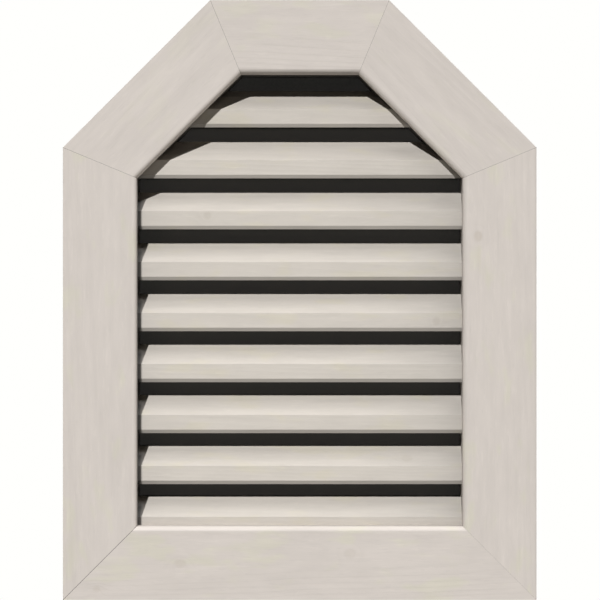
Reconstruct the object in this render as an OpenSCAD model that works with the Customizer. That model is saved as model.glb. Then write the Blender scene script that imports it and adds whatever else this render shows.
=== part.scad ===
// Gable vent: a mitred flat trim with sloping shoulders, a shallow box behind it,
// fixed louvre slats held in the box and a dark board that closes the back.
// Origin: middle of the bottom edge of the trim's back face, which lies on the wall.
// X is to the right, Y goes into the wall, Z is up. Millimetres.

/* [Outline] */
// Overall width of the trim
overall_w = 571.5; // [500:0.5:900]
// Overall height of the trim
overall_h = 723.9; // [640:0.1:1000]
// Leg of the 45 degree cut at each top corner
corner_cut = 177.8; // [120:0.1:200]

/* [Trim] */
// Width of the trim boards
trim_w = 88.9; // [70:0.1:100]
// Thickness of the trim boards
trim_t = 19.05; // [16:0.05:30]
// Radius of the trim's inner front edge
trim_round = 6.35; // [1:0.05:9]
// Depth of the rebate that seats the trim on the box
rebate_d = 3.2; // [1:0.1:5]

/* [Box] */
// Thickness of the box boards
box_t = 19.05; // [12:0.05:25]
// How far the box reaches into the wall
box_d = 38.1; // [32:0.1:75]
// Thickness of the backing board
backing_t = 6.35; // [3:0.05:12]

/* [Louvres] */
// Thickness of a louvre slat
louvre_t = 17.1; // [14:0.05:22]
// Slope of the slats, in degrees
louvre_angle = 45; // [35:1:55]
// Height of the plumb face planed on a slat's front edge
nose_h = 18; // [12:0.1:20]
// Lean of the chamfer under the plumb face, in degrees from plumb
lip_lean = 24; // [10:1:40]
// Depth of the housings that hold the slats' ends
housing_d = 6; // [2:0.1:9]
// Gap between the slats' back edges and the backing board
back_gap = 2.6; // [0.5:0.1:4]
// Height of the lowest slat's bend above the sill
first_bend = 10; // [2:0.1:14]
// Gap between the top slat's back edge and the head
head_gap = 17.8; // [8:0.1:40]

/* [Hidden] */
$fn = 64;

// The boards of each ring, counted from the bottom one and anticlockwise from the front
BOTTOM = 0;
RIGHT = 1;
RIGHT_SLOPE = 2;
TOP = 3;
LEFT_SLOPE = 4;
LEFT = 5;
headings = [0, 90, 135, 180, 225, 270];

louvre_count = 9;
paint = [0.80, 0.77, 0.73];
slat_paint = [0.76, 0.73, 0.69];
bare_pine = [0.83, 0.70, 0.52];
black_stain = [0.06, 0.06, 0.055];
overshoot = 1;

opening_h = overall_h - 2 * trim_w;

louvre_reach = box_d - back_gap;
// How far a slat's underside lies below its sloping face, measured plumb
louvre_drop = louvre_t / cos(louvre_angle);
// Length of the chamfer, from the plumb face down to the underside
lip_w = (louvre_drop - nose_h) / (cos(lip_lean) + sin(lip_lean) * tan(louvre_angle));
louvre_rise = (louvre_reach - louvre_t * sin(louvre_angle)) * tan(louvre_angle);
pitch = (opening_h - first_bend - louvre_rise - head_gap) / (louvre_count - 1);

// Corners of the vent's outline, brought inwards by a distance
function outline(inset) =
    let (
        half = overall_w / 2 - inset,
        low = inset,
        high = overall_h - inset,
        leg = corner_cut - inset * (2 - sqrt(2))
    )
    [
        [-half, low],
        [half, low],
        [half, high - leg],
        [half - leg, high],
        [-half + leg, high],
        [-half, high - leg]
    ];

function next(i) = (i + 1) % len(headings);

// Height of a slat's bend, where its slope meets its plumb face: slat 1 is the top one
function bend_z(number) = trim_w + first_bend + (louvre_count - number) * pitch;

// Stands a drawing of the front view up: its y becomes Z, its z comes towards the viewer
module stand_up() {
    rotate([90, 0, 0]) children();
}

// Runs a section along a side of an outline and past its ends: section x goes inwards, y forwards
module along_side(inset, side) {
    corners = outline(inset);
    run = norm(corners[next(side)] - corners[side]);
    translate(corners[side])
        rotate([0, 0, headings[side]])
            translate([-overshoot, 0, 0])
                rotate([90, 0, 90])
                    linear_extrude(run + 2 * overshoot) children();
}

// The part of a ring that one board fills, mitred at both ends
module mitred(outer_inset, inner_inset, side) {
    outer = outline(outer_inset);
    inner = outline(inner_inset);
    polygon([outer[side], outer[next(side)], inner[next(side)], inner[side]]);
}

module trim_section() {
    difference() {
        square([trim_w, trim_t]);
        translate([trim_w - box_t, -overshoot])
            square([box_t + overshoot, rebate_d + overshoot]);
        translate([trim_w - trim_round, trim_t - trim_round])
            difference() {
                square(trim_round + overshoot);
                circle(trim_round);
            }
    }
}

module trim_board(side) {
    color(paint)
        stand_up()
            intersection() {
                along_side(0, side) trim_section();
                linear_extrude(trim_t) mitred(-overshoot, trim_w + overshoot, side);
            }
}

module box_board(side) {
    color(bare_pine)
        stand_up()
            translate([0, 0, -box_d])
                linear_extrude(box_d + rebate_d)
                    mitred(trim_w - box_t, trim_w, side);
}

// An upright jamb, with a housing for the end of each slat
module housed_jamb(side) {
    color(bare_pine)
        difference() {
            box_board(side);
            for (number = [1:louvre_count]) louvre_solid(number);
        }
}

// Section of a slat: x goes into the wall, y up, and the bend is at the origin
module louvre_section() {
    polygon([
        [0, 0],
        [0, -nose_h],
        [lip_w * sin(lip_lean), -nose_h - lip_w * cos(lip_lean)],
        [louvre_reach, louvre_reach * tan(louvre_angle) - louvre_drop],
        [louvre_rise / tan(louvre_angle), louvre_rise]
    ]);
}

// Outline of the room for the slats: the opening, widened at its upright sides by the housings.
// Slats that reach the slopes are cut to them and butt against the sloping jambs.
function louvre_limits() =
    let (
        opening = outline(trim_w),
        out = [housing_d, 0],
        up = [0, housing_d]
    )
    [
        opening[0] - out,
        opening[1] + out,
        opening[2] + out - up,
        opening[3],
        opening[4],
        opening[5] - out - up
    ];

module louvre_solid(number) {
    intersection() {
        translate([-overall_w / 2, 0, bend_z(number)])
            rotate([90, 0, 90])
                linear_extrude(overall_w) louvre_section();
        stand_up()
            translate([0, 0, -box_d]) linear_extrude(box_d) polygon(louvre_limits());
    }
}

module louvre(number) {
    color(slat_paint) louvre_solid(number);
}

module backing_board() {
    color(black_stain)
        translate([0, box_d + backing_t, 0])
            stand_up()
                linear_extrude(backing_t) polygon(outline(trim_w - box_t));
}

trim_board(BOTTOM);  // trim_bottom
trim_board(RIGHT);  // trim_right
trim_board(RIGHT_SLOPE);  // trim_right_slope
trim_board(TOP);  // trim_top
trim_board(LEFT_SLOPE);  // trim_left_slope
trim_board(LEFT);  // trim_left
box_board(BOTTOM);  // sill
housed_jamb(RIGHT);  // jamb_right
box_board(RIGHT_SLOPE);  // jamb_right_slope
box_board(TOP);  // jamb_head
box_board(LEFT_SLOPE);  // jamb_left_slope
housed_jamb(LEFT);  // jamb_left
louvre(1);  // louvre_1
louvre(2);  // louvre_2
louvre(3);  // louvre_3
louvre(4);  // louvre_4
louvre(5);  // louvre_5
louvre(6);  // louvre_6
louvre(7);  // louvre_7
louvre(8);  // louvre_8
louvre(9);  // louvre_9
backing_board();
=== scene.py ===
import bpy
import bmesh
import math
import random
from mathutils import Matrix, Vector


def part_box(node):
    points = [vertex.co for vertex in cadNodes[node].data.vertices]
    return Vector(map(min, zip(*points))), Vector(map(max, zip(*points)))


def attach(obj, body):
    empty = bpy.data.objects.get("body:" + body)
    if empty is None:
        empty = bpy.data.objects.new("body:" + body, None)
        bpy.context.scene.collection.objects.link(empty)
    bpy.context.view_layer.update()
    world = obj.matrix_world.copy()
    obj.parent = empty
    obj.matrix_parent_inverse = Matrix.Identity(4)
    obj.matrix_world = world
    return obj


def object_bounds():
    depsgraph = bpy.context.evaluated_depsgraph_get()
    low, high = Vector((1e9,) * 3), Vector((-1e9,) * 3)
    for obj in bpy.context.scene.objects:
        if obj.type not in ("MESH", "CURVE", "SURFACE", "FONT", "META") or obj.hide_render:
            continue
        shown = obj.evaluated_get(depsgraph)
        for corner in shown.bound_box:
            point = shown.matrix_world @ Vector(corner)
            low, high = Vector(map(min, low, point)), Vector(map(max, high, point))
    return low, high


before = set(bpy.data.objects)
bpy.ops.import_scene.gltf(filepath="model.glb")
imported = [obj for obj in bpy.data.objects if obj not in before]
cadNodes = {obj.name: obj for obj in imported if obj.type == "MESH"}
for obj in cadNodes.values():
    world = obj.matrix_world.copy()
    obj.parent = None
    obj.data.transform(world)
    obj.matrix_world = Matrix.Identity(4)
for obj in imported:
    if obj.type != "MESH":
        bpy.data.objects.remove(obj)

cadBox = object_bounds()
mm = 0.001


def hexColour(text):  # sRGB "#rrggbb" to linear RGBA
    channels = [int(text[i:i + 2], 16) / 255 for i in (1, 3, 5)]
    linear = [c / 12.92 if c <= 0.04045 else ((c + 0.055) / 1.055) ** 2.4 for c in channels]
    return (*linear, 1.0)


def addNode(tree, kind, sockets=None, **settings):  # a node or an output given as a value is linked
    node = tree.nodes.new(kind)
    for key, value in settings.items():
        setattr(node, key, value)
    for key, value in (sockets or {}).items():
        if isinstance(value, bpy.types.Node):
            value = value.outputs[0]
        if isinstance(value, bpy.types.NodeSocket):
            tree.links.new(value, node.inputs[key])
        else:
            node.inputs[key].default_value = value
    return node


def newMaterial(name):
    material = bpy.data.materials.new(name)
    material.use_nodes = True
    material.node_tree.nodes.clear()
    return material, material.node_tree


# Camera and light
camera = {
    "away": 3.308,     # lens to the trim's face
    "height": 0.362,
    "focal": 164.5,
    "sensor": 36,
    "shiftX": 0.0005,
}
cameraData = bpy.data.cameras.new("camera")
cameraData.lens = camera["focal"]
cameraData.sensor_width = camera["sensor"]
cameraData.shift_x = camera["shiftX"]
cameraObject = bpy.data.objects.new("camera", cameraData)
cameraObject.location = (0, cadBox[0][1] - camera["away"], camera["height"])
cameraObject.rotation_euler = (math.pi / 2, 0, 0)
bpy.context.scene.collection.objects.link(cameraObject)
bpy.context.scene.camera = cameraObject
bpy.context.scene.view_settings.view_transform = "Standard"

# A crisp sun from the upper left, and two soft lamps that reach only the sides and the back
lamps = {
    "sun": {"towards": (-0.34, -1, 0.815), "strength": 2.98, "angle": 0.4},
    "back": {"towards": (0.5, 1, 0.55), "strength": 1.8, "angle": 12},
    "backFill": {"towards": (-0.8, 0.6, 0.1), "strength": 0.9, "angle": 20},
}
for name, lamp in lamps.items():
    data = bpy.data.lights.new(name, "SUN")
    data.energy = lamp["strength"]
    data.angle = math.radians(lamp["angle"])
    light = bpy.data.objects.new(name, data)
    light.rotation_euler = Vector(lamp["towards"]).to_track_quat("Z", "Y").to_euler()
    bpy.context.scene.collection.objects.link(light)

# Two strips far off, above and to the right. Both lie along the great circle through the sun
# and the run of the left shoulder, so that shoulder throws one crisp shadow from all three.
strips = {
    "highStrip": {"towards": (5.245, -1, 6.4), "away": 30, "wide": 1.0, "long": 7.4, "power": 2500},
    "frontStrip": {"towards": (0.795, -1, 1.95), "away": 30, "wide": 1.0, "long": 17.2, "power": 2350},
}
shoulder = Vector((1, 0, 1))
for name, strip in strips.items():
    data = bpy.data.lights.new(name, "AREA")
    data.shape = "RECTANGLE"
    data.size = strip["wide"]
    data.size_y = strip["long"]
    data.energy = strip["power"]
    light = bpy.data.objects.new(name, data)
    towards = Vector(strip["towards"]).normalized()
    aside = shoulder.cross(towards).normalized()
    light.location = strip["away"] * towards
    light.rotation_euler = Matrix((aside, towards.cross(aside), towards)).transposed().to_euler()
    bpy.context.scene.collection.objects.link(light)

# A bright floor fills the undersides of the slats from steeply below, a dim ceiling their feet
room = {
    "seen": "#fffffd",
    "fill": "#fffcf4",
    "level": 0.015,
    "below": 0.53,
    "floorEdge": (-0.75, -0.35),    # how far down or up a ray points where each begins and ends
    "above": 0.09,
    "ceilingEdge": (0.55, 0.85),
}
world = bpy.data.worlds.new("room")
world.use_nodes = True
bpy.context.scene.world = world
tree = world.node_tree
tree.nodes.clear()
seen = addNode(tree, "ShaderNodeBackground", {"Color": hexColour(room["seen"])})
skyward = addNode(tree, "ShaderNodeSeparateXYZ", {
    0: addNode(tree, "ShaderNodeTexCoord").outputs["Generated"],
})
fromFloor = addNode(tree, "ShaderNodeMapRange", {
    "Value": skyward.outputs[2],
    "From Min": room["floorEdge"][0],
    "From Max": room["floorEdge"][1],
    "To Min": room["below"],
    "To Max": room["level"],
}, interpolation_type="SMOOTHSTEP")
fromCeiling = addNode(tree, "ShaderNodeMapRange", {
    "Value": skyward.outputs[2],
    "From Min": room["ceilingEdge"][0],
    "From Max": room["ceilingEdge"][1],
    "To Max": room["above"],
}, interpolation_type="SMOOTHSTEP")
strength = addNode(tree, "ShaderNodeMath", {0: fromFloor, 1: fromCeiling}, operation="ADD")
fill = addNode(tree, "ShaderNodeBackground", {"Color": hexColour(room["fill"]), "Strength": strength})
mixed = addNode(tree, "ShaderNodeMixShader", {
    0: addNode(tree, "ShaderNodeLightPath").outputs["Is Camera Ray"],
    1: fill,
    2: seen,
})
addNode(tree, "ShaderNodeOutputWorld", {"Surface": mixed})

# Seamless white paper: evenly lit, so it shows neither shade nor shadow
floorSheet = {"size": 3.0, "drop": 0.0006, "colour": "#fffffd"}
bm = bmesh.new()
bmesh.ops.create_grid(bm, x_segments=1, y_segments=1, size=floorSheet["size"])
bmesh.ops.translate(bm, vec=(0, 0, -floorSheet["drop"]), verts=bm.verts)
floorMesh = bpy.data.meshes.new("floor")
bm.to_mesh(floorMesh)
bm.free()
floor = bpy.data.objects.new("floor", floorMesh)
bpy.context.scene.collection.objects.link(floor)
paper, tree = newMaterial("seamlessPaper")
glow = addNode(tree, "ShaderNodeEmission", {"Color": hexColour(floorSheet["colour"])})
addNode(tree, "ShaderNodeOutputMaterial", {"Surface": glow})
floorMesh.materials.append(paper)
floor.visible_diffuse = False
floor.visible_glossy = False
floor.visible_shadow = False
print("camera, lights and floor")


# Plain-sawn pine under a sprayed coat of matte light tan primer: a flat warm grey, in which
# growth rings, fibre streaks, a few knots and uneven soaking-in show faintly.
primer = {
    "coat": "#cfc7c0",
    "thin": "#cfc9bc",     # where the wood has drunk the primer, its yellow shows through
    "slatCoat": "#cec7be",
    "slatThin": "#cfc8ba",
    # the cool grey that painted shade turns the coat towards
    "shadeGrey": "#c8c8c9",
    "knot": "#b3a898",
    "gap": "#1d1a17",
    "roughness": 0.58,
    "ior": 1.47,
    "ringWidth": 4.2 * mm,
    "pithDeep": (30 * mm, 60 * mm),
    "pithAside": 22 * mm,
    "taper": 0.022,
    "wander": 7 * mm,
    "ringDepth": 0.035 * mm,
    "fibreDepth": 0.03 * mm,
    "evenTone": 0.9385,
    "ringTone": -0.014,    # how the late wood, the fibres and the rest change the even tone
    "fibreTone": 0.017,
    "streakTone": 0.035,
    "cloudTone": 0.14,
    "patchTone": 0.1,
    "stripTone": 0.018,
    "dashTone": -0.03,
    "wanderSize": (240 * mm, 55 * mm),    # along the grain and across it
    "fibreSize": (26 * mm, 1.3 * mm),
    "streakSize": (20 * mm, 2.6 * mm),
    "cloudSize": (45 * mm, 11 * mm),
    "patchSize": (110 * mm, 36 * mm),
    "stripSize": (210 * mm, 8 * mm),
    "dashSize": (11 * mm, 1.6 * mm),
    "thinSize": (60 * mm, 24 * mm),
    "seamEdge": (0.35, 0.75),    # how far off its middle a seam is full and gone, in widths
}
knotShape = {
    "long": 0.8,           # less than 1 is longer along the grain
    "spread": 0.25,        # how fast the rings' swelling dies out
    "swell": 1.6,
    "rim": 1.25,
    "heart": 0.55,
    "tailDark": 0.4,
    "tailSlim": 1.6,
    "tailDrop": 0.25,
}


def alongGrain(tree, lie, shift, size, detail):  # noise drawn out along the grain
    length, width = size
    drawn = addNode(tree, "ShaderNodeMapping", {
        "Vector": lie,
        "Location": shift,
        "Scale": (1 / length, 1 / width, 1 / width),
    })
    return addNode(tree, "ShaderNodeTexNoise", {
        "Vector": drawn,
        "Scale": 1.0,
        "Detail": detail,
        "Roughness": 0.55,
    })


def knotsIn(tree, lie, knots, growth):  # rings swell round each knot, and its heart is darker
    knotShade = None
    for knot in knots:
        toKnot = addNode(tree, "ShaderNodeVectorMath", {
            0: lie,
            1: (knot["along"], 0, knot["across"]),
        }, operation="SUBTRACT")
        oval = addNode(tree, "ShaderNodeVectorMath", {
            0: toKnot,
            1: (knotShape["long"] / knot["size"], 0, 1 / knot["size"]),
        }, operation="MULTIPLY")
        away = addNode(tree, "ShaderNodeVectorMath", {0: oval}, operation="LENGTH").outputs["Value"]
        squared = addNode(tree, "ShaderNodeVectorMath", {0: oval, 1: oval}, operation="DOT_PRODUCT")
        squared = squared.outputs["Value"]
        eased = addNode(tree, "ShaderNodeMath", {0: squared, 1: -knotShape["spread"]},
                        operation="MULTIPLY")
        swell = addNode(tree, "ShaderNodeMath", {0: eased}, operation="EXPONENT")
        growth = addNode(tree, "ShaderNodeMath", {
            0: swell,
            1: knotShape["swell"] * knot["size"],
            2: growth,
        }, operation="MULTIPLY_ADD")
        eye = addNode(tree, "ShaderNodeMapRange", {
            "Value": away,
            "From Min": knotShape["rim"],
            "From Max": knotShape["heart"],
        }, interpolation_type="SMOOTHSTEP")
        heart = addNode(tree, "ShaderNodeMath", {0: eye, 1: knot["dark"]}, operation="MULTIPLY")
        tailSpot = addNode(tree, "ShaderNodeVectorMath", {
            0: toKnot,
            1: (knot["tail"], 0, -knotShape["tailDrop"] * knot["size"]),
        }, operation="SUBTRACT")
        tailOval = addNode(tree, "ShaderNodeVectorMath", {
            0: tailSpot,
            1: (1 / abs(knot["tail"]), 0, knotShape["tailSlim"] / knot["size"]),
        }, operation="MULTIPLY")
        tailAway = addNode(tree, "ShaderNodeVectorMath", {0: tailOval}, operation="LENGTH")
        tail = addNode(tree, "ShaderNodeMapRange", {
            "Value": tailAway.outputs["Value"],
            "From Min": 1.0,
            "From Max": 0.2,
            "To Max": knotShape["tailDark"] * knot["dark"],
        }, interpolation_type="SMOOTHSTEP")
        shade = addNode(tree, "ShaderNodeMath", {0: heart, 1: tail}, operation="MAXIMUM")
        if knotShade:
            shade = addNode(tree, "ShaderNodeMath", {0: knotShade, 1: shade}, operation="MAXIMUM")
        knotShade = shade
    return growth, knotShade


def soiled(tree, along, across, soil, tone, coat):  # painted shade: darkens the coat by zones up a slat's section, towards its ends and in the corner by the jamb, and greys it there
    # One ramp over the slat's section carries the four values of each zone, as shares of a full one
    ramp = addNode(tree, "ShaderNodeValToRGB", {
        0: addNode(tree, "ShaderNodeMapRange", {
            "Value": across,
            "From Min": soil["zones"][0][0],
            "From Max": soil["zones"][-1][0],
        }),
    })
    span = soil["zones"][-1][0] - soil["zones"][0][0]
    stops = ramp.color_ramp.elements
    while len(stops) < len(soil["zones"]):
        stops.new(0.5)
    for stop, zone in zip(stops, soil["zones"]):
        stop.position = (zone[0] - soil["zones"][0][0]) / span
    for stop, zone in zip(stops, soil["zones"]):
        stop.color = (zone[1] / soil["fullTone"], zone[2], zone[3] / soil["fullReach"], zone[4])
    zoneParts = addNode(tree, "ShaderNodeSeparateColor", {0: ramp})
    tone = addNode(tree, "ShaderNodeMath", {0: tone, 1: zoneParts.outputs[0]}, operation="MULTIPLY")
    tone = addNode(tree, "ShaderNodeMath", {0: tone, 1: soil["fullTone"]}, operation="MULTIPLY")
    fade = addNode(tree, "ShaderNodeMath", {0: zoneParts.outputs[2], 1: soil["fullReach"]},
                   operation="MULTIPLY")
    rightEnd = addNode(tree, "ShaderNodeMath", {0: along, 1: soil["end"]}, operation="SUBTRACT")
    rightShare = addNode(tree, "ShaderNodeMath", {0: rightEnd, 1: fade}, operation="DIVIDE")
    rightCurve = addNode(tree, "ShaderNodeMath", {0: rightShare}, operation="EXPONENT")
    rightLoss = addNode(tree, "ShaderNodeMath", {0: rightCurve, 1: zoneParts.outputs[1]},
                        operation="MULTIPLY")
    leftEnd = addNode(tree, "ShaderNodeMath", {0: along, 1: soil["leftEnd"]}, operation="SUBTRACT")
    leftShare = addNode(tree, "ShaderNodeMath", {0: leftEnd, 1: -soil["leftFade"]},
                        operation="DIVIDE")
    leftCurve = addNode(tree, "ShaderNodeMath", {0: leftShare}, operation="EXPONENT")
    # painted shadow in the corner by the jamb, fading out up the slope
    cornerShadow = addNode(tree, "ShaderNodeMapRange", {
        "Value": across,
        "From Min": soil["cornerTop"],
        "From Max": soil["cornerTop"] - soil["cornerTopFade"],
        "To Max": soil["cornerShadow"],
    })
    corner = addNode(tree, "ShaderNodeMapRange", {
        "Value": along,
        "From Min": soil["leftEnd"] + soil["corner"] + soil["cornerFade"],
        "From Max": soil["leftEnd"] + soil["corner"],
        "To Max": cornerShadow,
    })
    leftLoss = addNode(tree, "ShaderNodeMath", {0: leftCurve, 1: ramp.outputs["Alpha"], 2: corner},
                       operation="MULTIPLY_ADD")
    loss = addNode(tree, "ShaderNodeMath", {0: rightLoss, 1: leftLoss}, operation="ADD")
    unshaded = addNode(tree, "ShaderNodeMath", {0: 1.0, 1: loss}, operation="SUBTRACT")
    tone = addNode(tree, "ShaderNodeMath", {0: tone, 1: unshaded}, operation="MULTIPLY")
    # the painted shade also turns the coat towards a cool grey
    shadeGreying = addNode(tree, "ShaderNodeMath", {0: loss, 1: soil["shadeGreying"]}, operation="MULTIPLY")
    coat = addNode(tree, "ShaderNodeMix", {
        0: shadeGreying,
        6: coat,
        7: hexColour(primer["shadeGrey"]),
    }, data_type="RGBA").outputs[2]
    return tone, coat


def openMitres(tree, place, seams, colour):  # hairlines that the primer has not bridged
    for seam in seams:
        normal = Vector(seam["normal"])
        offset = addNode(tree, "ShaderNodeVectorMath", {0: place, 1: normal},
                         operation="DOT_PRODUCT")
        gap = addNode(tree, "ShaderNodeMath", {
            0: offset.outputs["Value"],
            1: normal.dot(Vector(seam["point"])),
        }, operation="SUBTRACT")
        gap = addNode(tree, "ShaderNodeMath", {0: gap}, operation="ABSOLUTE")
        line = addNode(tree, "ShaderNodeMapRange", {
            "Value": gap,
            "From Min": primer["seamEdge"][1] * seam["width"],
            "From Max": primer["seamEdge"][0] * seam["width"],
            "To Max": seam["dark"],
        })
        colour = addNode(tree, "ShaderNodeMix", {
            0: line,
            6: colour,
            7: hexColour(primer["gap"]),
        }, data_type="RGBA").outputs[2]
    return colour


def primedPine(name, board):
    rng = random.Random(board["seed"])
    pith = (0, rng.uniform(*primer["pithDeep"]), rng.uniform(-1, 1) * primer["pithAside"])
    shift = [rng.uniform(-40, 40) for i in range(3)]  # gives each board a figure of its own
    material, tree = newMaterial(name)
    place = addNode(tree, "ShaderNodeTexCoord").outputs["Object"]
    lie = addNode(tree, "ShaderNodeMapping", {
        "Vector": place,
        "Location": board["centre"],
        "Rotation": board["turn"],
    }, vector_type="TEXTURE")  # x along the board, y into it, z across it
    lieParts = addNode(tree, "ShaderNodeSeparateXYZ", {0: lie})
    along = lieParts.outputs[0]
    across = lieParts.outputs[2]

    # Rings round the pith, which wanders, so the face cuts them into long pointed arches
    fromPith = addNode(tree, "ShaderNodeVectorMath", {0: lie, 1: pith}, operation="SUBTRACT")
    inSection = addNode(tree, "ShaderNodeVectorMath", {0: fromPith, 1: (0, 1, 1)}, operation="MULTIPLY")
    radius = addNode(tree, "ShaderNodeVectorMath", {0: inSection}, operation="LENGTH").outputs["Value"]
    tapered = addNode(tree, "ShaderNodeMath", {0: along, 1: primer["taper"], 2: radius},
                      operation="MULTIPLY_ADD")
    wander = alongGrain(tree, lie, shift, primer["wanderSize"], 2)
    growth = addNode(tree, "ShaderNodeMath", {0: wander, 1: primer["wander"], 2: tapered},
                     operation="MULTIPLY_ADD")
    growth, knotShade = knotsIn(tree, lie, board["knots"], growth)
    ringCount = addNode(tree, "ShaderNodeMath", {0: growth, 1: primer["ringWidth"]}, operation="DIVIDE")
    phase = addNode(tree, "ShaderNodeMath", {0: ringCount}, operation="FRACT")
    rise = addNode(tree, "ShaderNodeMapRange", {
        "Value": phase,
        "From Min": 0.3,
        "From Max": 0.88,
    }, interpolation_type="SMOOTHSTEP")
    drop = addNode(tree, "ShaderNodeMapRange", {"Value": phase, "From Min": 1.0, "From Max": 0.9})
    lateWood = addNode(tree, "ShaderNodeMath", {0: rise, 1: drop}, operation="MULTIPLY")

    fibre = alongGrain(tree, lie, shift, primer["fibreSize"], 2)
    streakNoise = alongGrain(tree, lie, shift[::-1], primer["streakSize"], 1)
    streak = addNode(tree, "ShaderNodeMapRange", {
        "Value": streakNoise,
        "From Min": 0.58,
        "From Max": 0.74,
    }, interpolation_type="SMOOTHSTEP")
    cloud = alongGrain(tree, lie, shift[::-1], primer["cloudSize"], 3)
    patch = alongGrain(tree, lie, shift[1:] + shift[:1], primer["patchSize"], 2)
    stripNoise = alongGrain(tree, lie, shift, primer["stripSize"], 1)
    paleStrip = addNode(tree, "ShaderNodeMapRange", {
        "Value": stripNoise,
        "From Min": 0.53,
        "From Max": 0.57,
    })
    dashNoise = alongGrain(tree, lie, shift[::-1], primer["dashSize"], 0)
    dash = addNode(tree, "ShaderNodeMapRange", {
        "Value": dashNoise,
        "From Min": 0.68,
        "From Max": 0.78,
    })

    # Tone is what the coat's colour is multiplied by
    tone = primer["evenTone"]
    figure = {
        "ringTone": lateWood,
        "fibreTone": fibre,
        "streakTone": streak,
        "cloudTone": cloud,
        "patchTone": patch,
        "stripTone": paleStrip,
        "dashTone": dash,
    }
    for key, pattern in figure.items():
        tone = addNode(tree, "ShaderNodeMath", {0: pattern, 1: primer[key], 2: tone},
                       operation="MULTIPLY_ADD")
    tone = addNode(tree, "ShaderNodeMath", {0: tone, 1: board.get("tone", 1.0)}, operation="MULTIPLY")
    coatDepth = alongGrain(tree, lie, shift, primer["thinSize"], 2)
    covered = addNode(tree, "ShaderNodeMapRange", {
        "Value": coatDepth,
        "From Min": 0.31,
        "From Max": 0.46,
        "To Min": 1 - board.get("drunk", 1.0),
    }, interpolation_type="SMOOTHSTEP")
    coat = addNode(tree, "ShaderNodeMix", {
        0: covered,
        6: hexColour(primer[board.get("thin", "thin")]),
        7: hexColour(primer[board.get("coat", "coat")]),
    }, data_type="RGBA").outputs[2]
    if knotShade:
        coat = addNode(tree, "ShaderNodeMix", {
            0: knotShade,
            6: coat,
            7: hexColour(primer["knot"]),
        }, data_type="RGBA").outputs[2]

    if "soil" in board:
        tone, coat = soiled(tree, along, across, board["soil"], tone, coat)
    for start, stop, share in board.get("lightAndShadeBands", []):  # painted light and shade in strips across the board
        band = addNode(tree, "ShaderNodeMapRange", {
            "Value": across,
            "From Min": start,
            "From Max": stop,
            "To Min": 1.0,
            "To Max": share,
        })
        tone = addNode(tree, "ShaderNodeMath", {0: tone, 1: band}, operation="MULTIPLY")
    colour = addNode(tree, "ShaderNodeVectorMath", {0: coat, "Scale": tone}, operation="SCALE")
    colour = openMitres(tree, place, board.get("seams", []), colour.outputs[0])

    ringHeight = addNode(tree, "ShaderNodeMath", {0: lateWood, 1: primer["ringDepth"]},
                         operation="MULTIPLY")
    height = addNode(tree, "ShaderNodeMath", {0: fibre, 1: primer["fibreDepth"], 2: ringHeight},
                     operation="MULTIPLY_ADD")
    relief = addNode(tree, "ShaderNodeBump", {"Strength": 1.0, "Distance": 1.0, "Height": height})
    surface = addNode(tree, "ShaderNodeBsdfPrincipled", {
        "Base Color": colour,
        "Roughness": primer["roughness"],
        "IOR": primer["ior"],
        "Normal": relief,
    })
    addNode(tree, "ShaderNodeOutputMaterial", {"Surface": surface})
    return material


# Eased edges: how far each kind of board is sanded, and the angles between faces in degrees
easing = {
    "trim": 0.15 * mm,
    "box": 0.2 * mm,
    "slats": 0.25 * mm,
    "backing": 0.3 * mm,
    "segments": 2,
    "bevelOver": 18,
    "smoothUnder": 36,
    "weld": 0.01 * mm,
}
group = bpy.data.node_groups.new("smoothByAngle", "GeometryNodeTree")
group.interface.new_socket("Geometry", in_out="INPUT", socket_type="NodeSocketGeometry")
group.interface.new_socket("Geometry", in_out="OUTPUT", socket_type="NodeSocketGeometry")
meshIn = addNode(group, "NodeGroupInput")
smoothFaces = addNode(group, "GeometryNodeSetShadeSmooth", {"Geometry": meshIn}, domain="FACE")
bend = addNode(group, "GeometryNodeInputMeshEdgeAngle")
soft = addNode(group, "FunctionNodeCompare", {
    0: bend,
    1: math.radians(easing["smoothUnder"]),
}, operation="LESS_THAN")
smoothEdges = addNode(group, "GeometryNodeSetShadeSmooth", {
    "Geometry": smoothFaces,
    "Shade Smooth": soft,
}, domain="EDGE")
addNode(group, "NodeGroupOutput", {0: smoothEdges})


def easeEdges(piece, width):
    weld = piece.modifiers.new("weld", "WELD")
    weld.merge_threshold = easing["weld"]
    bevel = piece.modifiers.new("easedEdges", "BEVEL")
    bevel.width = width
    bevel.segments = easing["segments"]
    bevel.limit_method = "ANGLE"
    bevel.angle_limit = math.radians(easing["bevelOver"])
    smooth = piece.modifiers.new("smoothByAngle", "NODES")
    smooth.node_group = group
    weighted = piece.modifiers.new("flatFaces", "WEIGHTED_NORMAL")
    weighted.keep_sharp = True


def finish(piece, material):
    piece.data.materials.clear()
    piece.data.materials.append(material)


# Both rings of boards run anticlockwise from the bottom board, as seen from the front, with mitred ends
ring = {
    "half": cadBox[1][0],
    "high": cadBox[1][2],
    "corner": cadBox[1][0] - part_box("trim_top")[1].x,  # leg of the cut-off corner
    "trimWide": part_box("trim_bottom")[1].z,
    "boxThick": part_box("sill")[1].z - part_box("sill")[0].z,
    "headings": (0, 90, 135, 180, 225, 270),
}


def ringCorners(inset):
    half = ring["half"] - inset
    leg = ring["corner"] - inset * (2 - math.sqrt(2))
    corners = [
        (-half, inset),
        (half, inset),
        (half, ring["high"] - inset - leg),
        (half - leg, ring["high"] - inset),
        (-half + leg, ring["high"] - inset),
        (-half, ring["high"] - inset - leg),
    ]
    return [Vector((x, 0, z)) for x, z in corners]


outerCorners = ringCorners(0)
openCorners = ringCorners(ring["trimWide"])
boxCorners = ringCorners(ring["trimWide"] - ring["boxThick"])


def following(place):
    return (place + 1) % len(ring["headings"])


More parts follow.
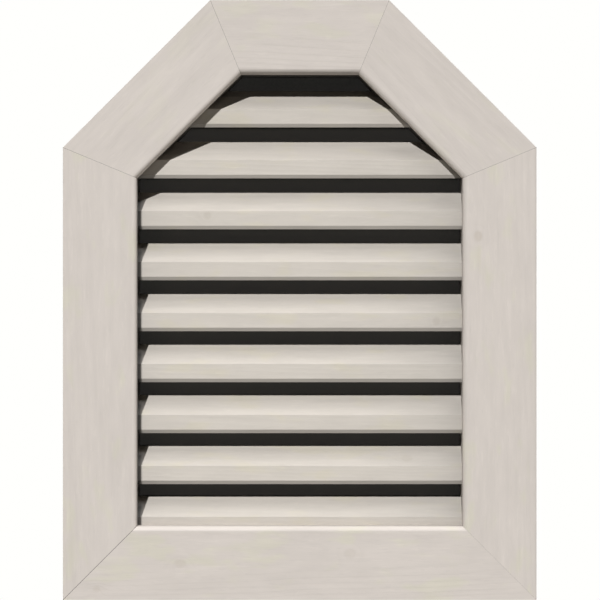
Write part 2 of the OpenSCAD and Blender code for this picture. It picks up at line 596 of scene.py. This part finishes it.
def layBoard(board, place, outer, inner):  # the board's own frame: along it, into it, inwards
    after = following(place)
    board["centre"] = (outer[place] + outer[after] + inner[place] + inner[after]) / 4
    board["turn"] = (0, -math.radians(ring["headings"][place]), 0)


# Hairlines at the mitres, from the bottom left corner: some joints are tighter than others
mitres = [
    {"width": 0.42 * mm, "dark": 0.95},
    {"width": 0.18 * mm, "dark": 0.5},
    {"width": 0.24 * mm, "dark": 0.8},
    {"width": 0.22 * mm, "dark": 0.8},
    {"width": 0.24 * mm, "dark": 0.85},
    {"width": 0.26 * mm, "dark": 0.85},
]
for mitre, outer, inner in zip(mitres, outerCorners, openCorners):
    run = (inner - outer).normalized()
    mitre["normal"] = Vector((-run.z, 0, run.x))
    mitre["point"] = outer

# tone is the whole board's, and bands paint light and shade across the board, lighter or darker strips
# by its edges: where a band begins, where it is full, and what it multiplies the tone by. drunk is how
# far the yellow shows in the thin places.
edge = ring["trimWide"] / 2    # from a board's middle line to its inner edge
trimBoards = {
    "trim_bottom": {"seed": 1, "tone": 1.015, "lightAndShadeBands": [
        (edge - 4.5 * mm, edge - 2 * mm, 0.97),
        (edge - 0.45 * mm, edge - 0.1 * mm, 0.72),
    ], "knots": [
        {"along": -144 * mm, "across": 0 * mm, "size": 6 * mm, "dark": 0.2, "tail": 30 * mm},
        {"along": 61 * mm, "across": 12 * mm, "size": 6 * mm, "dark": 0.14, "tail": 12 * mm},
        {"along": -245 * mm, "across": -31 * mm, "size": 4 * mm, "dark": 0.2, "tail": 8 * mm},
    ]},
    "trim_right": {"seed": 2, "lightAndShadeBands": [
        (2.8 * mm - edge, 1.5 * mm - edge, 0.92),
        (edge - 6 * mm, edge - 4 * mm, 0.97),
        (edge - 0.4 * mm, edge - 0.1 * mm, 0.85),
    ], "knots": [
        {"along": 153 * mm, "across": 26 * mm, "size": 5.5 * mm, "dark": 0.32, "tail": -26 * mm},
    ]},
    "trim_right_slope": {"seed": 3, "tone": 0.976, "drunk": 0.5, "lightAndShadeBands": [
        (edge - 6 * mm, edge - 4 * mm, 1.06),
    ], "knots": []},
    "trim_top": {"seed": 4, "tone": 0.983, "drunk": 0.8, "lightAndShadeBands": [
        (edge - 3 * mm, edge - 1 * mm, 0.7),
        (edge - 0.4 * mm, edge - 0.1 * mm, 1.25),
    ], "knots": []},
    "trim_left_slope": {"seed": 5, "drunk": 0.4, "lightAndShadeBands": [
        (edge - 6.5 * mm, edge - 4 * mm, 1.2),
        (edge - 1.5 * mm, edge - 0.5 * mm, 0.95),
    ], "knots": []},
    "trim_left": {"seed": 6, "lightAndShadeBands": [
        (edge - 6.5 * mm, edge - 4 * mm, 1.07),
        (edge - 0.6 * mm, edge - 0.1 * mm, 0.75),
    ], "knots": []},
}
for place, (name, board) in enumerate(trimBoards.items()):
    layBoard(board, place, outerCorners, openCorners)
    board["seams"] = [mitres[place], mitres[following(place)]]
    finish(cadNodes[name], primedPine(name + "Primed", board))
    easeEdges(cadNodes[name], easing["trim"])
print("trim")

# The box is primed like the trim; painted shade darkens the inner faces of its boards, by a different
# amount on each, so they drop back behind the slats
boxBoards = {
    "sill": {"seed": 11, "insideShade": 0.9, "knots": []},
    "jamb_right": {"seed": 12, "insideShade": 0.58, "knots": []},
    "jamb_right_slope": {"seed": 13, "insideShade": 0.12, "knots": []},
    "jamb_head": {"seed": 14, "insideShade": 0.15, "knots": []},
    "jamb_left_slope": {"seed": 15, "insideShade": 0.24, "knots": []},
    "jamb_left": {"seed": 16, "insideShade": 0.15, "knots": []},
}
edge = ring["boxThick"] / 2
for place, (name, board) in enumerate(boxBoards.items()):
    layBoard(board, place, boxCorners, openCorners)
    board["lightAndShadeBands"] = [(edge - 1.2 * mm, edge - 0.4 * mm, board["insideShade"])]
    finish(cadNodes[name], primedPine(name + "Primed", board))
    easeEdges(cadNodes[name], easing["box"])
print("box")

# Painted shade on the slats, as tones: nose is a slat's plumb face and crease the middle of it, lip the
# chamfer under it, and slope, foot and deep follow each other up the sloping face, darker towards the
# back. ends is how far painted shade darkens the nose's ends. The two slats without toJamb end on the
# slopes, where no shadow is painted in a corner.
slatShape = {"rise": 23.41 * mm, "slope": 45}  # from the bend up to the highest edge
slats = {
    "louvre_1": {
        "seed": 21, "toJamb": False, "nose": 0.98, "slope": 0.9, "foot": 0.965, "deep": 0.66,
        "knots": [],
    },
    "louvre_2": {"seed": 22, "toJamb": False, "slope": 0.94, "deep": 0.98, "knots": []},
    "louvre_3": {"seed": 23, "slope": 0.98, "knots": [
        {"along": -112 * mm, "across": -4 * mm, "size": 4 * mm, "dark": 0.2, "tail": -10 * mm},
    ]},
    "louvre_4": {"seed": 24, "knots": []},
    "louvre_5": {"seed": 25, "knots": [
        {"along": 166 * mm, "across": -7 * mm, "size": 4 * mm, "dark": 0.25, "tail": 10 * mm},
    ]},
    "louvre_6": {"seed": 26, "lip": 0.97, "knots": []},
    "louvre_7": {"seed": 27, "lip": 0.93, "knots": []},
    "louvre_8": {"seed": 28, "nose": 1.03, "lip": 0.97, "knots": [
        {"along": 130 * mm, "across": 12 * mm, "size": 6 * mm, "dark": 0.2, "tail": -10 * mm},
    ]},
    "louvre_9": {"seed": 29, "nose": 0.91, "crease": 0.78, "ends": 0.7, "knots": []},
}
for name, board in slats.items():
    low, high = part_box(name)
    board["centre"] = Vector((0, low.y, high.z - slatShape["rise"]))
    board["turn"] = (-math.radians(slatShape["slope"]), 0, 0)
    nose = board.get("nose", 1.0)
    slope = board.get("slope", 1.0)
    lip = board.get("lip", 1.0)
    foot = board.get("foot", slope)
    deep = board.get("deep", 1.0)
    ends = board.get("ends", 1.0)
    board["coat"] = "slatCoat"
    board["thin"] = "slatThin"
    board["soil"] = {
        # Up the section from the bend: where, tone, painted shade at the right end, its reach, painted
        # shade at the left
        "zones": [
            (-14 * mm, 0.8 * lip, 0.25, 20 * mm, 0.34),
            (-12.8 * mm, 0.8 * lip, 0.25, 20 * mm, 0.34),
            (-12.5 * mm, nose, 0.21 * ends, 42 * mm, 0.22 * ends),
            (-6.8 * mm, board.get("crease", nose), 0.21 * ends, 42 * mm, 0.22 * ends),
            (-2.5 * mm, nose, 0.21 * ends, 42 * mm, 0.22 * ends),
            (-0.2 * mm, nose, 0.21 * ends, 42 * mm, 0.22 * ends),
            (0.3 * mm, 0.885 * slope, 0.21, 62 * mm, 0.2),
            (9 * mm, 0.855 * slope, 0.21, 62 * mm, 0.18),
            (17 * mm, 0.83 * foot, 0.21, 62 * mm, 0.16),
            (22.2 * mm, 0.828 * foot, 0.2, 60 * mm, 0.15),
            (23.2 * mm, 0.836 * deep, 0.2, 60 * mm, 0.15),
            (33 * mm, 0.88 * deep, 0.2, 60 * mm, 0.15),
        ],
        "end": openCorners[1].x,
        "leftEnd": low.x,
        "leftFade": 26 * mm,
        "fullTone": 1.25,
        "fullReach": 64 * mm,
        "corner": 8.5 * mm,      # painted shadow in the corner by the jamb, 6 mm of it in the housing
        "cornerFade": 4 * mm,
        "cornerTop": 24 * mm,
        "cornerTopFade": 8 * mm,
        "cornerShadow": 0.6 if board.get("toJamb", True) else 0.0,
        "shadeGreying": 0.55,
    }
    finish(cadNodes[name], primedPine(name + "Primed", board))
    easeEdges(cadNodes[name], easing["slats"])
print("slats")

# Black hardboard: pressed wood fibre, dyed through, so it is dull and mottled. The press leaves a
# wire screen's weave in its back, drawn coarse enough to show, and storage leaves pale scuffs.
# Its front is painted lighter, as painted light coming in through the gaps, and less so under the head
# and towards the jambs, as painted shade.
hardboard = {
    "dark": "#21201b",
    "light": "#33312c",
    "scuff": "#4b4844",
    "frontLight": "#413e39",
    "roughness": 0.7,
    "fibre": 3 * mm,
    "cloud": 90 * mm,
    "screen": 2.4 * mm,
    "weave": 0.5,                    # how high the screen's weave stands beside the fibres
    "relief": 0.12 * mm,
    "scuffSize": (70 * mm, 2.2 * mm),
    "scuffTurn": 24,
    "scuffShare": 0.7,
    "skin": (0.2 * mm, 0.4 * mm),    # the painted light is full and ends this deep in the front
    "headShade": (20 * mm, 90 * mm),   # it begins and is full this far under the top edge
    "sides": 76 * mm,                # and thins this far in from the side edges
    "sideLight": 0.3,
    "lamp": {"strength": 0.6, "angle": 4},
}
low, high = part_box("backing_board")
pressedBoard, tree = newMaterial("blackHardboard")
place = addNode(tree, "ShaderNodeTexCoord").outputs["Object"]
placeParts = addNode(tree, "ShaderNodeSeparateXYZ", {0: place})
mottle = addNode(tree, "ShaderNodeTexNoise", {
    "Vector": place,
    "Scale": 1 / hardboard["fibre"],
    "Detail": 4.0,
})
cloud = addNode(tree, "ShaderNodeTexNoise", {
    "Vector": place,
    "Scale": 1 / hardboard["cloud"],
    "Detail": 4.0,
    "Roughness": 0.6,
})
blotch = addNode(tree, "ShaderNodeMath", {0: mottle, 1: cloud}, operation="ADD")
blotch = addNode(tree, "ShaderNodeMapRange", {"Value": blotch, "From Min": 0.7, "From Max": 1.3})
colour = addNode(tree, "ShaderNodeMix", {
    0: blotch,
    6: hexColour(hardboard["dark"]),
    7: hexColour(hardboard["light"]),
}, data_type="RGBA").outputs[2]
dragged = addNode(tree, "ShaderNodeMapping", {
    "Vector": place,
    "Rotation": (0, math.radians(hardboard["scuffTurn"]), 0),
    "Scale": (1 / hardboard["scuffSize"][0], 1, 1 / hardboard["scuffSize"][1]),
})
scuffNoise = addNode(tree, "ShaderNodeTexNoise", {"Vector": dragged, "Scale": 1.0, "Detail": 2.0})
scuff = addNode(tree, "ShaderNodeMapRange", {
    "Value": scuffNoise,
    "From Min": 0.66,
    "From Max": 0.8,
    "To Max": hardboard["scuffShare"],
})
colour = addNode(tree, "ShaderNodeMix", {
    0: scuff,
    6: colour,
    7: hexColour(hardboard["scuff"]),
}, data_type="RGBA").outputs[2]
onFront = addNode(tree, "ShaderNodeMapRange", {
    "Value": placeParts.outputs[1],
    "From Min": low.y + hardboard["skin"][1],
    "From Max": low.y + hardboard["skin"][0],
})
outOfHeadShade = addNode(tree, "ShaderNodeMapRange", {
    "Value": placeParts.outputs[2],
    "From Min": high.z - hardboard["headShade"][0],
    "From Max": high.z - hardboard["headShade"][1],
})
sideways = addNode(tree, "ShaderNodeMath", {0: placeParts.outputs[0]}, operation="ABSOLUTE")
outOfJambShade = addNode(tree, "ShaderNodeMapRange", {
    "Value": sideways,
    "From Min": high.x - hardboard["sides"],
    "From Max": high.x,
    "To Min": 1.0,
    "To Max": hardboard["sideLight"],
}, interpolation_type="SMOOTHSTEP")
# painted light on the front, held back under the head and by the jambs as painted shade
frontLight = addNode(tree, "ShaderNodeMath", {0: onFront, 1: outOfHeadShade}, operation="MULTIPLY")
frontLight = addNode(tree, "ShaderNodeMath", {0: frontLight, 1: outOfJambShade}, operation="MULTIPLY")
colour = addNode(tree, "ShaderNodeMix", {
    0: frontLight,
    6: colour,
    7: hexColour(hardboard["frontLight"]),
}, data_type="RGBA").outputs[2]
screenRate = 2 * math.pi / hardboard["screen"]
wires = []
for direction in (placeParts.outputs[0], placeParts.outputs[2]):
    turns = addNode(tree, "ShaderNodeMath", {0: direction, 1: screenRate}, operation="MULTIPLY")
    wires.append(addNode(tree, "ShaderNodeMath", {0: turns}, operation="SINE"))
weave = addNode(tree, "ShaderNodeMath", {0: wires[0], 1: wires[1]}, operation="MULTIPLY")
backShare = addNode(tree, "ShaderNodeMath", {0: 1.0, 1: onFront}, operation="SUBTRACT")
weave = addNode(tree, "ShaderNodeMath", {0: weave, 1: backShare}, operation="MULTIPLY")
height = addNode(tree, "ShaderNodeMath", {0: weave, 1: hardboard["weave"], 2: mottle},
                 operation="MULTIPLY_ADD")
relief = addNode(tree, "ShaderNodeBump", {
    "Strength": 1.0,
    "Distance": hardboard["relief"],
    "Height": height,
})
surface = addNode(tree, "ShaderNodeBsdfPrincipled", {
    "Base Color": colour,
    "Roughness": hardboard["roughness"],
    "Normal": relief,
})
addNode(tree, "ShaderNodeOutputMaterial", {"Surface": surface})
finish(cadNodes["backing_board"], pressedBoard)
easeEdges(cadNodes["backing_board"], easing["backing"])

# A lamp for the board alone, from straight in front, so the gaps read as one even dark grey
data = bpy.data.lights.new("boardLamp", "SUN")
data.energy = hardboard["lamp"]["strength"]
data.angle = math.radians(hardboard["lamp"]["angle"])
light = bpy.data.objects.new("boardLamp", data)
light.rotation_euler = (math.pi / 2, 0, 0)
bpy.context.scene.collection.objects.link(light)
litBoard = bpy.data.collections.new("litBoard")
litBoard.objects.link(cadNodes["backing_board"])
light.light_linking.receiver_collection = litBoard
print("backing board")

# Zinc-plated steel wire: grey and half shiny, with a dull bloom here and there
zincPlate = {
    "bright": "#b4b7b8",
    "bloom": "#8d9090",
    "shiny": 0.32,
    "dull": 0.6,
    "patch": 2.5 * mm,
    "scratch": 0.4 * mm,
    "relief": 0.008 * mm,
}
zinc, tree = newMaterial("zincPlatedSteel")
place = addNode(tree, "ShaderNodeTexCoord").outputs["Object"]
patches = addNode(tree, "ShaderNodeTexNoise", {
    "Vector": place,
    "Scale": 1 / zincPlate["patch"],
    "Detail": 3.0,
})
bloom = addNode(tree, "ShaderNodeMapRange", {"Value": patches, "From Min": 0.4, "From Max": 0.65})
colour = addNode(tree, "ShaderNodeMix", {
    0: bloom,
    6: hexColour(zincPlate["bright"]),
    7: hexColour(zincPlate["bloom"]),
}, data_type="RGBA").outputs[2]
roughness = addNode(tree, "ShaderNodeMapRange", {
    "Value": bloom,
    "To Min": zincPlate["shiny"],
    "To Max": zincPlate["dull"],
})
scratches = addNode(tree, "ShaderNodeTexNoise", {"Vector": place, "Scale": 1 / zincPlate["scratch"]})
relief = addNode(tree, "ShaderNodeBump", {
    "Strength": 1.0,
    "Distance": zincPlate["relief"],
    "Height": scratches,
})
surface = addNode(tree, "ShaderNodeBsdfPrincipled", {
    "Base Color": colour,
    "Metallic": 1.0,
    "Roughness": roughness,
    "Normal": relief,
})
addNode(tree, "ShaderNodeOutputMaterial", {"Surface": surface})

# Staples: flattened wire, driven until only the crown shows
staple = {
    "seed": 51,
    "crown": 11 * mm,
    "wide": 1.25 * mm,
    "thick": 0.9 * mm,
    "leg": 6 * mm,
    "bend": 1.1 * mm,
    "softened": 0.12 * mm,
    "tilt": 7,
    "mitreShares": (0.3, 0.68),   # along each mitre
    "mitreProud": 0.3 * mm,
    "apart": 115 * mm,
    "stray": 0.06,
    "boardProud": 0.2 * mm,
}
sharpEdge = math.radians(60)


def drivenStaple(proud):  # crown along x, legs towards -y, its top this far above y = 0
    bm = bmesh.new()
    end = bmesh.ops.create_grid(bm, x_segments=1, y_segments=1, size=0.5)["verts"]
    bmesh.ops.scale(bm, vec=(staple["thick"], staple["wide"], 1), verts=end)
    bmesh.ops.rotate(bm, verts=end, cent=(0, 0, 0), matrix=Matrix.Rotation(math.pi / 2, 3, "X"))
    bmesh.ops.translate(bm, verts=end, vec=(-(staple["crown"] - staple["thick"]) / 2, -staple["leg"], 0))
    faces = bm.faces[:]
    runs = [
        (0, staple["leg"] - staple["thick"] / 2 - staple["bend"], 0),
        (staple["crown"] - staple["thick"] - 2 * staple["bend"], 0, 0),
        (0, staple["bend"] + staple["thick"] / 2 - staple["leg"], 0),
    ]
    for step, run in enumerate(runs):
        lastFaces = faces
        made = bmesh.ops.extrude_face_region(bm, geom=lastFaces)["geom"]
        if step > 0:  # only the first one closes the wire's end
            bmesh.ops.delete(bm, geom=lastFaces, context="FACES_ONLY")
        points = [item for item in made if isinstance(item, bmesh.types.BMVert)]
        faces = [item for item in made if isinstance(item, bmesh.types.BMFace)]
        bmesh.ops.translate(bm, verts=points, vec=run)
        if step < 2:
            turn = Vector((staple["bend"], 0, 0)) if step == 0 else Vector((0, -staple["bend"], 0))
            centre = faces[0].calc_center_median() + turn
            made = bmesh.ops.spin(bm, geom=points + list(faces[0].edges) + faces, cent=centre,
                                  axis=(0, 0, 1), angle=-math.pi / 2, steps=4)["geom_last"]
            faces = [item for item in made if isinstance(item, bmesh.types.BMFace)]
    bmesh.ops.translate(bm, verts=bm.verts, vec=(0, proud, 0))
    bmesh.ops.recalc_face_normals(bm, faces=bm.faces)
    arrises = [side for side in bm.edges if side.calc_face_angle(0) > sharpEdge]
    bmesh.ops.bevel(bm, geom=arrises, offset=staple["softened"], offset_type="OFFSET", segments=2,
                    profile=0.5, affect="EDGES", material=-1, clamp_overlap=True)
    return bm


def fixings(name, pattern, places):  # one piece out of a pattern set down at each place
    whole = bmesh.new()
    single = bpy.data.meshes.new(name + "Pattern")
    pattern.to_mesh(single)
    pattern.free()
    for point, turn in places:
        known = len(whole.verts)
        whole.from_mesh(single)
        points = whole.verts[known:]
        bmesh.ops.rotate(whole, verts=points, cent=(0, 0, 0), matrix=turn)
        bmesh.ops.translate(whole, verts=points, vec=point)
    bpy.data.meshes.remove(single)
    mesh = bpy.data.meshes.new(name)
    whole.to_mesh(mesh)
    whole.free()
    for face in mesh.polygons:
        face.use_smooth = True
    piece = bpy.data.objects.new(name, mesh)
    bpy.context.scene.collection.objects.link(piece)
    finish(piece, zinc)
    smooth = piece.modifiers.new("smoothByAngle", "NODES")
    smooth.node_group = group
    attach(piece, "root")


rng = random.Random(staple["seed"])
# Two across each mitre, on the trim's back
places = []
for mitre, outer, box in zip(mitres, outerCorners, boxCorners):
    for share in staple["mitreShares"]:
        angle = math.atan2(-mitre["normal"].z, mitre["normal"].x)
        angle += math.radians(rng.uniform(-staple["tilt"], staple["tilt"]))
        places.append((outer.lerp(box, share), Matrix.Rotation(angle, 3, "Y")))
fixings("mitre_staples", drivenStaple(staple["mitreProud"]), places)

# A row round the backing board, over the middle of the box boards
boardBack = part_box("backing_board")[1].y
inset = ring["trimWide"] - ring["boxThick"] / 2
corners = ringCorners(inset)
places = []
for place, corner in enumerate(corners):
    run = corners[following(place)] - corner
    count = max(2, round(run.length / staple["apart"]))
    for number in range(count):
        point = corner + (number + 0.5 + rng.uniform(-1, 1) * staple["stray"]) / count * run
        point.y = boardBack
        angle = math.radians(-ring["headings"][place] + rng.uniform(-staple["tilt"], staple["tilt"]))
        places.append((point, Matrix.Rotation(angle, 3, "Y")))
fixings("backing_staples", drivenStaple(staple["boardProud"]), places)

# Brads through the jambs into the slats' ends, two to an end: small oblong heads, just sunk
brad = {
    "long": 2.2 * mm,
    "wide": 1.4 * mm,
    "head": 0.8 * mm,
    "softened": 0.25 * mm,
    "proud": 0.12 * mm,
    "spots": ((12.5 * mm, -5 * mm), (26.5 * mm, 9 * mm)),  # depth, and lift over the slat's bend
    "stray": 1 * mm,
}
pattern = bmesh.new()
bmesh.ops.create_cone(pattern, cap_ends=True, segments=16, radius1=brad["wide"] / 2,
                      radius2=brad["wide"] / 2, depth=brad["head"])
bmesh.ops.scale(pattern, verts=pattern.verts, vec=(brad["long"] / brad["wide"], 1, 1))
rim = [side for side in pattern.edges if side.calc_face_angle(0) > sharpEdge]
bmesh.ops.bevel(pattern, geom=rim, offset=brad["softened"], offset_type="OFFSET", segments=2,
                profile=0.5, affect="EDGES", material=-1)
bmesh.ops.translate(pattern, verts=pattern.verts, vec=(0, 0, brad["proud"] - brad["head"] / 2))
places = []
outside = openCorners[1].x + ring["boxThick"]
for name in slats:
    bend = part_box(name)[1].z - slatShape["rise"]
    for depth, lift in brad["spots"]:
        z = bend + lift + rng.uniform(-1, 1) * brad["stray"]
        above = z - openCorners[2].z
        for side in (-1, 1):
            if above < 0:
                point = Vector((side * outside, depth, z))
                turn = Matrix.Rotation(side * math.pi / 2, 3, "Y")
            else:
                reach = ring["boxThick"] / math.sqrt(2)
                point = Vector((side * (openCorners[2].x - above + reach), depth, z + reach))
                turn = Matrix.Rotation(side * math.pi / 4, 3, "Y")
            places.append((point, turn))
fixings("slat_brads", pattern, places)
print("fixings")
